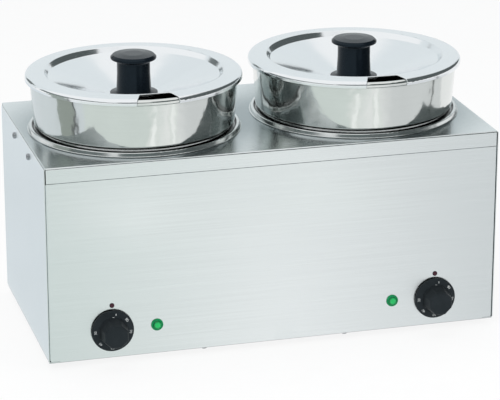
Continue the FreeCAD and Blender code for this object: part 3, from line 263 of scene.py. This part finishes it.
def lens(name, box, rim, heart, glow):
    """Lamp lens: a bright heart that darkens to its rim, with fine facets moulded inside."""
    low, high = box
    axis_x, axis_z, radius = (low.x + high.x) / 2, (low.z + high.z) / 2, (high.x - low.x) / 2
    s = Shader(name)
    split = s.add("SeparateXYZ")
    s.feed(split.inputs[0], s.place())
    off_x = s.math("SUBTRACT", s.math("ABSOLUTE", split.outputs["X"]), axis_x)
    off_z = s.math("SUBTRACT", split.outputs["Z"], axis_z)
    squares = [s.math("MULTIPLY", off, off) for off in (off_x, off_z)]
    reach = s.math("SQRT", s.math("ADD", *squares))
    edge = s.span(reach, 0, 1, (radius * 0.55, radius * 0.95))
    facets = s.noise(s.place(), 900.0, 2.0)
    tint = s.blend(edge, colour(*heart), colour(*rim))
    s.set(Base_Color=s.blend(s.span(facets, 0, 0.35), tint, colour(*rim)))
    s.set(Emission_Color=tint, Emission_Strength=glow, Coat_Weight=0.2, Specular_IOR_Level=0.3)
    s.set(Roughness=s.span(facets, 0.12, 0.24), Normal=s.bump(facets, 0.1 * MM, 0.3))
    return s.material


# One finish for each slot that the record names
finishes = {
    "housing_steel": brushed_sheet(),
    "base_steel": satin_steel("base_sheet", (0.52, 0.53, 0.54), 0.42),
    "pot_steel": spun_steel("pot_polish", (0.73, 0.755, 0.74), 0.11, ripple=1.3, grain=0.08,
                            streak=0.025, crease_shade=CREASE_SHADE_REACH),
    "lid_steel": spun_steel("lid_polish", (0.835, 0.865, 0.885), 0.14, ripple=0.15, grain=0.02,
                            streak=0.006),
    "well_steel": spun_steel("well_polish", (0.68, 0.71, 0.71), 0.16, ripple=0.15, grain=0.15,
                             streak=0.03, crease_shade=CREASE_SHADE_REACH),
    "screw_steel": satin_steel("screw_metal", (0.36, 0.38, 0.40), 0.32),
    "foot_rubber": moulded("foot_rubber", (0.016, 0.016, 0.017), (0.03, 0.03, 0.03), 0.75,
                           tooth=0.08),
    "knob_plastic": moulded("knob_plastic", (0.0025, 0.0045, 0.007), (0.005, 0.008, 0.012), 0.20,
                            tooth=0.015, shine=0.24, sheen=(0.62, 0.84, 1.0)),
    "dial_plastic": moulded("dial_plastic", (0.011, 0.0135, 0.015), (0.017, 0.0205, 0.023), 0.42,
                            tooth=0.02, shine=0.22, soften=2.6 * MM, sheen=(0.7, 0.88, 1.0)),
    "green_bezel": moulded("green_bezel", (0.001, 0.20, 0.065), (0.002, 0.27, 0.09), 0.28,
                           tooth=0.01, coat=0.1, shine=0.15),
    "green_lens": lens("green_lens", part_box("green_lamp_lens_right"),
                       (0.001, 0.12, 0.035), (0.008, 0.50, 0.12), 0.16),
    "red_lens": lens("red_lens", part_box("red_lamp_lens_right"),
                     (0.02, 0.002, 0.007), (0.05, 0.003, 0.014), 0.03),
    "switch_plastic": moulded("switch_plastic", (0.02, 0.02, 0.02), (0.035, 0.034, 0.032), 0.5),
    "terminal_ceramic": moulded("terminal_ceramic", (0.78, 0.76, 0.70), (0.86, 0.84, 0.79), 0.3,
                                coat=0.4),
    "gland_nylon": moulded("gland_nylon", (0.018, 0.018, 0.019), (0.03, 0.03, 0.032), 0.45),
    "element_tube": satin_steel("element_tube", (0.30, 0.27, 0.24), 0.5),
    "probe_copper": satin_steel("probe_copper", (0.72, 0.38, 0.24), 0.3),
    "wire_sleeve": moulded("wire_sleeve", (0.55, 0.50, 0.42), (0.68, 0.63, 0.54), 0.7,
                           tooth=0.1, scale=1500.0),
}
for item in nodes.values():
    for entry in item.material_slots:
        entry.material = finishes[entry.material.name]


# Pieces

def new_piece(name, mesh, body, finish):
    mesh.materials.clear()
    mesh.materials.append(finish)
    piece = bpy.data.objects.new(name, mesh)
    bpy.context.scene.collection.objects.link(piece)
    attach(piece, body)


def mesh_from(form, name):
    mesh = bpy.data.meshes.new(name)
    form.to_mesh(mesh)
    form.free()
    return mesh


def mesh_of_curve(curve):
    """The mesh of a text or a curve, by way of an object that is removed again."""
    holder = bpy.data.objects.new(curve.name, curve)
    bpy.context.scene.collection.objects.link(holder)
    mesh = bpy.data.meshes.new_from_object(holder)
    bpy.data.objects.remove(holder)
    return mesh


# The dial's skirt is a shallow cone that carries the figures
SKIRT_RIM = 2.0 * MM
SKIRT_RISE = 2.5 * MM
GRIP_FLAT = 18.2 * MM
GRIP_SIDES = 8
SKIRT_EDGE_Y = DIAL_BACK - SKIRT_RIM
SKIRT_TOP_Y = SKIRT_EDGE_Y - SKIRT_RISE
SKIRT_INNER = GRIP_FLAT / math.cos(math.pi / GRIP_SIDES)
SKIRT_SLOPE = math.atan2(SKIRT_EDGE_Y - SKIRT_TOP_Y, DIAL_RADIUS - SKIRT_INNER)
FIGURE_RADIUS = 22.8 * MM
FIGURE_SIZE = 4.9 * MM
FIGURE_RELIEF = 0.06 * MM
FIGURE_SPREAD = 0.03 * MM
FIGURES = ("30", "40", "50", "60", "70", "80")
FIRST_FIGURE = 180.0
FIGURE_STEP = 43.6
# The off mark and the pointer: angle, half sizes of the bar and relief
OFF_ANGLE = 80.0
OFF_HALF = (0.5 * MM, 1.3 * MM)
POINTER_ANGLE = 90.0
POINTER_HALF = (1.3 * MM, 0.22 * MM)
POINTER_RELIEF = 0.4 * MM
BAR_CUT = 0.4


def on_skirt(centre_x, angle, radius):
    """Frame on the dial's cone: x along the figure, y radially outward, z off the surface."""
    turn = math.radians(angle)
    radial = Vector((math.cos(turn), 0, math.sin(turn)))
    front = Vector((0, -1, 0))
    out = radial * math.cos(SKIRT_SLOPE) - front * math.sin(SKIRT_SLOPE)
    off = front * math.cos(SKIRT_SLOPE) + radial * math.sin(SKIRT_SLOPE)
    share = (DIAL_RADIUS - radius) / (DIAL_RADIUS - SKIRT_INNER)
    depth = SKIRT_EDGE_Y + (SKIRT_TOP_Y - SKIRT_EDGE_Y) * share
    spot = Vector((centre_x, depth, DIAL_Z)) + radial * radius
    along = out.cross(off)
    return Matrix((along, out, off)).transposed().to_4x4(), spot


def figure_mesh(text):
    words = bpy.data.curves.new("figure", "FONT")
    words.body = text
    words.size = FIGURE_SIZE
    words.extrude = FIGURE_RELIEF
    words.offset = FIGURE_SPREAD
    words.align_x = "CENTER"
    words.align_y = "CENTER"
    return mesh_of_curve(words)


def add_prism(form, matrix, ring, half_z):
    """A flat prism with this outline, turned and placed by the matrix."""
    low, high = [[form.verts.new(matrix @ Vector((x, y, z))) for x, y in ring]
                 for z in (-half_z, half_z)]
    form.faces.new(high)
    form.faces.new(low[::-1])
    for i in range(len(ring)):
        j = (i + 1) % len(ring)
        form.faces.new((low[i], low[j], high[j], high[i]))


def bar_outline(half_x, half_y):
    """A small bar with its corners taken off."""
    cut = min(half_x, half_y) * BAR_CUT
    in_x, in_y = half_x - cut, half_y - cut
    return [(-in_x, -half_y), (in_x, -half_y), (half_x, -in_y), (half_x, in_y),
            (in_x, half_y), (-in_x, half_y), (-half_x, in_y), (-half_x, -in_y)]


ink = moulded("dial_ink", (0.46, 0.48, 0.48), (0.58, 0.60, 0.60), 0.5, 0.02)
for side, sign in SIDES:
    form = bmesh.new()
    for step, text in enumerate(FIGURES):
        angle = FIRST_FIGURE + FIGURE_STEP * step
        turn, spot = on_skirt(sign * DIAL_X, angle, FIGURE_RADIUS)
        figure = figure_mesh(text)
        figure.transform(Matrix.Translation(spot) @ turn)
        form.from_mesh(figure)
        bpy.data.meshes.remove(figure)
    for angle, radius, half, relief in (
            (OFF_ANGLE, FIGURE_RADIUS, OFF_HALF, FIGURE_RELIEF),
            (POINTER_ANGLE, SKIRT_INNER, POINTER_HALF, POINTER_RELIEF)):
        turn, spot = on_skirt(sign * DIAL_X, angle, radius)
        add_prism(form, Matrix.Translation(spot) @ turn, bar_outline(*half), relief)
    figures = mesh_from(form, "figures")
    new_piece(f"dial_figures_{side}", figures, f"{side}_dial", ink)

# The lid's section: a flat middle, a dish, a step up to the rim, and a bend down to the skirt
WALL = 1.0 * MM
LID_FLAT = 36.0 * MM
LID_DISH_DROP = 31.5 * MM
LID_STEP_DROP = 7.0 * MM
LID_STEP_RUN = 5.0 * MM
LID_STEP_INSET = 24.8 * MM
EDGE_BEND = 5.3 * MM
EDGE_DROP = 1.3 * MM
SKIRT_HEIGHT = 7.7 * MM
EDGE_TOP = LID_TOP - EDGE_DROP
SKIRT_LOW = EDGE_TOP - SKIRT_HEIGHT
NOTCH_LENGTH = 23.0 * MM
NOTCH_INNER = 20.0 * MM
NOTCH_OUTER = 29.0 * MM
NOTCH_ROUNDING = 3.0 * MM
HEM_RADIUS = 0.7 * MM
HEM_OFFSET = HEM_RADIUS - WALL / 2
HEM_ROUNDNESS = 3
BEND_STEPS = 8
NOTCH_STEPS = 40


def lid_section():
    """The lid's upper face, from the flat middle to the skirt's foot.
    Each row holds a radius, a height, and the face's normal: its radial and its upright part."""
    step_low = LID_TOP - LID_STEP_DROP
    floor = LID_TOP - LID_DISH_DROP
    step = LID_RADIUS - LID_STEP_INSET
    dish = step - LID_STEP_RUN
    slope = math.atan2(step_low - floor, dish - LID_FLAT)
    steep = math.atan2(LID_TOP - step_low, step - dish)
    fall = math.atan2(LID_TOP - EDGE_TOP, LID_RADIUS - step)
    rows = [(LID_FLAT, floor, -math.sin(slope), math.cos(slope)),
            (dish, step_low, -math.sin(slope), math.cos(slope)),
            (step, LID_TOP, -math.sin(steep / 2), math.cos(steep / 2))]
    centre = (LID_RADIUS - EDGE_BEND, EDGE_TOP - EDGE_BEND)
    for i in range(BEND_STEPS + 1):
        turn = math.pi / 2 - fall - (math.pi / 2 - fall) * i / BEND_STEPS
        rows.append((centre[0] + EDGE_BEND * math.cos(turn), centre[1] + EDGE_BEND * math.sin(turn),
                     math.cos(turn), math.sin(turn)))
    rows.append((LID_RADIUS, SKIRT_LOW, 1.0, 0.0))
    return rows


def on_lid(section, x, y):
    """Centre of the hem at the lid's plan point (x, y), which is measured from the lid's axis."""
    radius = math.hypot(x, y)
    for (r0, z0, a0, b0), (r1, z1, a1, b1) in zip(section, section[1:]):
        if r0 <= radius <= r1:
            share = (radius - r0) / (r1 - r0) if r1 > r0 else 0.0
            height = z0 + (z1 - z0) * share
            lean, rise = a0 + (a1 - a0) * share, b0 + (b1 - b0) * share
            break
    else:
        height, lean, rise = EDGE_TOP - EDGE_BEND, 1.0, 0.0
    normal = Vector((x / radius * lean, y / radius * lean, rise))
    return Vector((x, y, height)) + normal * (HEM_OFFSET - WALL / 2)


def notch_path():
    """The notch's edge in plan, from the rim round the inner corners to the rim on the other side."""
    inner = LID_RADIUS - NOTCH_LENGTH
    taper = math.atan2(NOTCH_OUTER - NOTCH_INNER, NOTCH_LENGTH)
    bulge = LID_RADIUS - math.sqrt(LID_RADIUS ** 2 - NOTCH_OUTER ** 2)
    rim_half = NOTCH_OUTER - bulge * math.tan(taper)
    rim = math.sqrt(LID_RADIUS ** 2 - rim_half ** 2)
    sweep = math.pi / 2 - taper
    reach = NOTCH_ROUNDING * math.tan(sweep / 2)
    start_y = inner + reach * math.cos(taper)
    start_x = NOTCH_INNER + reach * math.sin(taper)
    half = [(rim_half + (start_x - rim_half) * t / NOTCH_STEPS, rim + (start_y - rim) * t / NOTCH_STEPS)
            for t in range(NOTCH_STEPS)]
    centre_x = start_x - NOTCH_ROUNDING * math.cos(taper)
    centre_y = start_y + NOTCH_ROUNDING * math.sin(taper)
    for i in range(BEND_STEPS + 1):
        turn = -taper - sweep * i / BEND_STEPS
        half.append((centre_x + NOTCH_ROUNDING * math.cos(turn),
                     centre_y + NOTCH_ROUNDING * math.sin(turn)))
    return [(x, -y) for x, y in half] + [(-x, -y) for x, y in half[::-1]]


def hem_mesh(centre_x):
    """A rolled hem: a thin tube that follows the notch's edge over the lid's section."""
    section = lid_section()
    plan = notch_path()
    points = [on_lid(section, x, y) for x, y in plan]
    for end, index in ((plan[0], 0), (plan[-1], len(points))):
        out = Vector((end[0], end[1], 0)).normalized() * (LID_RADIUS - WALL + HEM_OFFSET)
        heights = (SKIRT_LOW + HEM_RADIUS / 2, EDGE_TOP - EDGE_BEND)
        foot = [Vector((out.x, out.y, z)) for z in heights]
        points[index:index] = foot if index == 0 else foot[::-1]
    curve = bpy.data.curves.new("hem", "CURVE")
    curve.dimensions = "3D"
    curve.bevel_depth = HEM_RADIUS
    curve.bevel_resolution = HEM_ROUNDNESS
    curve.use_fill_caps = True
    line = curve.splines.new("POLY")
    line.points.add(len(points) - 1)
    for point, spot in zip(line.points, points):
        point.co = (*spot, 1.0)
    mesh = mesh_of_curve(curve)
    mesh.transform(Matrix.Translation((centre_x, POT_Y, 0)))
    mesh.shade_smooth()
    return mesh


for side, sign in SIDES:
    hem = hem_mesh(sign * POT_X)
    new_piece(f"notch_hem_{side}", hem, f"{side}_lid", finishes["lid_steel"])

# Dark crosses on the pan heads, painted shade standing in for their cross recesses, each turned
# differently (angles in radians)
HEAD_RADIUS = 4.2 * MM
CROSS_ARM = 2.1 * MM
CROSS_HALF = 0.55 * MM
CROSS_TAPER = 0.7
CROSS_RELIEF = 0.05 * MM
CROSS_FIRST_TURN = 0.5
CROSS_TURN_STEP = 1.1
QUARTER_TURNS = ((1, 0), (0, 1), (-1, 0), (0, -1))


def cross_outline():
    """A cross with tapered arms: one arm's end and inner corner, turned four times."""
    tip = CROSS_HALF * CROSS_TAPER
    arm = [(CROSS_ARM, -tip), (CROSS_ARM, tip), (CROSS_HALF, CROSS_HALF)]
    return [(x * c - y * d, x * d + y * c) for c, d in QUARTER_TURNS for x, y in arm]


def head_spots(node, normal):
    """Centres of the head faces of the screws in a node, which sit at the corners of its box."""
    low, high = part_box(node)
    places = []
    for axis in range(3):
        if normal[axis]:
            places.append((high[axis] if normal[axis] > 0 else low[axis],))
        else:
            ends = (low[axis] + HEAD_RADIUS, high[axis] - HEAD_RADIUS)
            places.append(sorted({round(end, 6) for end in ends}))
    return [Vector((x, y, z)) for x in places[0] for y in places[1] for z in places[2]]


recess = moulded("recess_shadow", (0.012, 0.012, 0.013), (0.03, 0.03, 0.032), 0.6, 0.02)
LEFT, RIGHT, DOWN = Vector((-1, 0, 0)), Vector((1, 0, 0)), Vector((0, 0, -1))
for name, node, normal in (
        ("screw_crosses_left", "side_screws_left", LEFT),
        ("screw_crosses_right", "side_screws_right", RIGHT),
        ("screw_crosses_base", "base_screws", DOWN),
        ("screw_crosses_feet", "foot_screws", DOWN)):
    form = bmesh.new()
    outward = normal.to_track_quat("Z", "Y").to_matrix().to_4x4()
    for count, spot in enumerate(head_spots(node, normal)):
        turn = outward @ Matrix.Rotation(CROSS_FIRST_TURN + CROSS_TURN_STEP * count, 4, "Z")
        add_prism(form, Matrix.Translation(spot) @ turn, cross_outline(), CROSS_RELIEF)
    new_piece(name, mesh_from(form, name), "housing", recess)


# Studio

def aim(item, spot, target):
    item.location = spot
    item.rotation_mode = "QUATERNION"
    item.rotation_quaternion = (Vector(target) - Vector(spot)).to_track_quat("-Z", "Y")


def softbox(name, spot, target, width, height, power, tint):
    """An area light that shows neither to the lens nor in the metal."""
    light = bpy.data.lights.new(name, "AREA")
    light.shape = "RECTANGLE"
    light.size, light.size_y = width, height
    light.energy = power
    light.color = tint
    item = bpy.data.objects.new(name, light)
    bpy.context.scene.collection.objects.link(item)
    aim(item, spot, target)
    item.visible_camera = False
    item.visible_glossy = False


def seen_only_in_metal(item):
    item.visible_camera = False
    item.visible_diffuse = False
    item.visible_shadow = False
    item.visible_transmission = False


CARD_MOTTLE = 0.95


def plain_card(name, foot, turn, width, height, tint, fade=None):
    """A studio card that only shows as a reflection.
    It stands upright on the middle of its foot before it is turned, by degrees.
    With fade, it pales from its tint to white between these two places along its width."""
    s = Shader(name)
    mottle = s.noise(s.place(), 3.0, 2.0)
    tree = s.tree
    glow = s.add("Emission")
    tone = s.blend(s.span(mottle, 0, 1), *shades(tint, 1.0, CARD_MOTTLE))
    if fade:
        split = s.add("SeparateXYZ")
        s.feed(split.inputs[0], s.place())
        tone = s.blend(s.span(split.outputs["X"], 0, 1, fade), tone, colour(1, 1, 1))
    s.feed(glow.inputs["Color"], tone)
    tree.links.new(glow.outputs[0], tree.nodes["Material Output"].inputs["Surface"])
    form = bmesh.new()
    corners = [(-width / 2, 0), (width / 2, 0), (width / 2, height), (-width / 2, height)]
    form.faces.new([form.verts.new((x, 0, z)) for x, z in corners])
    mesh = mesh_from(form, name)
    mesh.materials.append(s.material)
    item = bpy.data.objects.new(name, mesh)
    bpy.context.scene.collection.objects.link(item)
    item.location = foot
    item.rotation_euler = [math.radians(angle) for angle in turn]
    seen_only_in_metal(item)


FLOOR_HALF = 9.0
FLOOR_GLOW = 0.85
FLOOR_SHINE = 0.1


def studio_floor():
    """A wide pale floor: near white to the lens and to metal, and it keeps the shadow."""
    s = Shader("pale_floor")
    tree = s.tree
    fleck = s.noise(s.place(), 30.0, 4.0)
    tone = s.blend(s.span(fleck, 0, 1), colour(0.86, 0.87, 0.87), colour(0.90, 0.905, 0.905))
    s.set(Base_Color=tone, Specular_IOR_Level=FLOOR_SHINE)
    s.set(Roughness=s.span(fleck, 0.75, 0.9), Normal=s.bump(fleck, 0.05 * MM, 0.2))
    glow = s.add("Emission")
    path = s.add("LightPath")
    mix = s.add("MixShader")
    seen = s.math("MAXIMUM", path.outputs["Is Camera Ray"], path.outputs["Is Glossy Ray"])
    s.feed(mix.inputs[0], s.math("MULTIPLY", seen, FLOOR_GLOW))
    tree.links.new(s.surface.outputs[0], mix.inputs[1])
    tree.links.new(glow.outputs[0], mix.inputs[2])
    tree.links.new(mix.outputs[0], tree.nodes["Material Output"].inputs["Surface"])
    form = bmesh.new()
    bmesh.ops.create_grid(form, x_segments=8, y_segments=8, size=FLOOR_HALF)
    mesh = mesh_from(form, "floor")
    mesh.materials.append(s.material)
    item = bpy.data.objects.new("floor", mesh)
    bpy.context.scene.collection.objects.link(item)


WORLD_SOFT = (0.95, 0.98, 1.0)
WORLD_STRENGTH = 0.55


def studio_world():
    """White to the lens, metal and glass; softer for the light it sheds."""
    world = bpy.data.worlds.new("studio")
    bpy.context.scene.world = world
    world.use_nodes = True
    tree = world.node_tree
    tree.nodes.clear()
    path = tree.nodes.new("ShaderNodeLightPath")
    first = tree.nodes.new("ShaderNodeMath")
    first.operation = "MAXIMUM"
    second = tree.nodes.new("ShaderNodeMath")
    second.operation = "MAXIMUM"
    white = tree.nodes.new("ShaderNodeBackground")
    white.inputs["Color"].default_value = colour(1, 1, 1)
    soft = tree.nodes.new("ShaderNodeBackground")
    soft.inputs["Color"].default_value = colour(*WORLD_SOFT)
    soft.inputs["Strength"].default_value = WORLD_STRENGTH
    mix = tree.nodes.new("ShaderNodeMixShader")
    out = tree.nodes.new("ShaderNodeOutputWorld")
    link = tree.links.new
    link(path.outputs["Is Camera Ray"], first.inputs[0])
    link(path.outputs["Is Glossy Ray"], first.inputs[1])
    link(first.outputs[0], second.inputs[0])
    link(path.outputs["Is Transmission Ray"], second.inputs[1])
    link(second.outputs[0], mix.inputs[0])
    link(soft.outputs[0], mix.inputs[1])
    link(white.outputs[0], mix.inputs[2])
    link(mix.outputs[0], out.inputs["Surface"])


# Softboxes: name, place, target, width, height, power and tint
SOFTBOXES = (
    ("key_light", (-1.6, -2.2, 2.4), (0, 0, 0.15), 1.6, 1.2, 38.0, (1, 1, 1)),
    ("fill_light", (1.9, -2.0, 1.7), (0, 0, 0.15), 1.4, 1.4, 18.0, (1.0, 0.98, 0.95)),
    ("top_light", (0.0, 0.3, 2.6), (0, 0, 0.2), 2.0, 1.6, 24.0, (1, 1, 1)),
)
# Turns of the cards, by degrees: facing the lens, or laid on the floor toward it
AHEAD = (0, 0, 0)
LAID = (90.0, 0, 0)
LAID_ASKEW = (90.0, 0, 16.1)
# Cards: name, foot, turn, width, height, tint and fade
CARDS = (
    ("left_card", (-0.80, 0.01, 0.0), (0, 0, -80.0), 0.26, 0.45, (0.36, 0.40, 0.37), None),
    ("left_line", (-0.80, -0.13, 0.0), (0, 0, -80.0), 0.03, 0.45, (0.02, 0.02, 0.02), None),
    ("right_line", (0.80, -0.17, 0.0), (0, 0, 90.0), 0.03, 0.45, (0.06, 0.065, 0.06), None),
    ("left_flag", (-1.35, -0.62, 0.47), (0, 0, -90.0), 2.9, 0.45, (0.15, 0.18, 0.18), None),
    ("front_flag", (-0.6, -2.1, 0.50), AHEAD, 1.5, 1.1, (0.15, 0.18, 0.18), None),
    ("right_front_flag", (0.85, -2.1, 0.50), AHEAD, 1.4, 2.7, (0.15, 0.17, 0.17), None),
    ("right_flag", (1.5, -0.35, 0.50), (0, 0, 90.0), 3.5, 2.4, (0.10, 0.115, 0.115), None),
    ("rear_flag", (-0.85, 1.30, 0.42), (0, 0, 212.0), 0.50, 0.55, (0.16, 0.18, 0.18), None),
    ("rear_ground", (-0.82, 1.45, 0.001), LAID, 1.03, 2.2, (0.78, 0.83, 0.865), None),
    ("rear_sky", (0.0, 4.0, 0.0), (0, 0, 180.0), 9.0, 4.5, (0.84, 0.885, 0.90), None),
    ("left_ground", (-0.727, -0.237, 0.002), LAID_ASKEW, 1.45, 1.5, (0.78, 0.84, 0.815),
     (0.43, 0.725)),
    ("right_ground", (0.729, 0.021, 0.002), LAID_ASKEW, 1.45, 1.7, (0.775, 0.79, 0.80),
     (-0.43, -0.725)),
)
# Strips on the floor, half a metre off, where the flared pot walls mirror it to the lens:
# side, place across and turn, then for both sides name, height off the floor, width and tint
STRIP_Y = -0.61
STRIP_LENGTH = 0.24
STRIP_PLACES = (("left", -0.0826, 9.1), ("right", 0.2207, 10.3))
STRIPS = (("glow", 0.0035, 0.150, (0.90, 0.93, 0.91)), ("glint", 0.0040, 0.060, (1.12, 1.13, 1.12)))

studio_world()
studio_floor()
for row in SOFTBOXES:
    softbox(*row)
for row in CARDS:
    plain_card(*row)
for side, across, turn in STRIP_PLACES:
    for name, lift, width, tint in STRIPS:
        foot = (across, STRIP_Y, lift)
        plain_card(f"{side}_{name}", foot, (90.0, 0, turn), width, STRIP_LENGTH, tint)

camera = bpy.data.cameras.new("camera")
camera.sensor_width = CAMERA_SENSOR
camera.sensor_fit = "HORIZONTAL"
camera.lens = CAMERA_LENS
camera.clip_end = CAMERA_FAR
camera_item = bpy.data.objects.new("camera", camera)
bpy.context.scene.collection.objects.link(camera_item)
forward = Vector((-math.sin(CAMERA_AZIMUTH) * math.cos(CAMERA_PITCH),
                  math.cos(CAMERA_AZIMUTH) * math.cos(CAMERA_PITCH),
                  -math.sin(CAMERA_PITCH)))
aim(camera_item, CAMERA_SPOT, CAMERA_SPOT + forward)
bpy.context.scene.camera = camera_item
bpy.context.scene.view_settings.view_transform = "Standard"
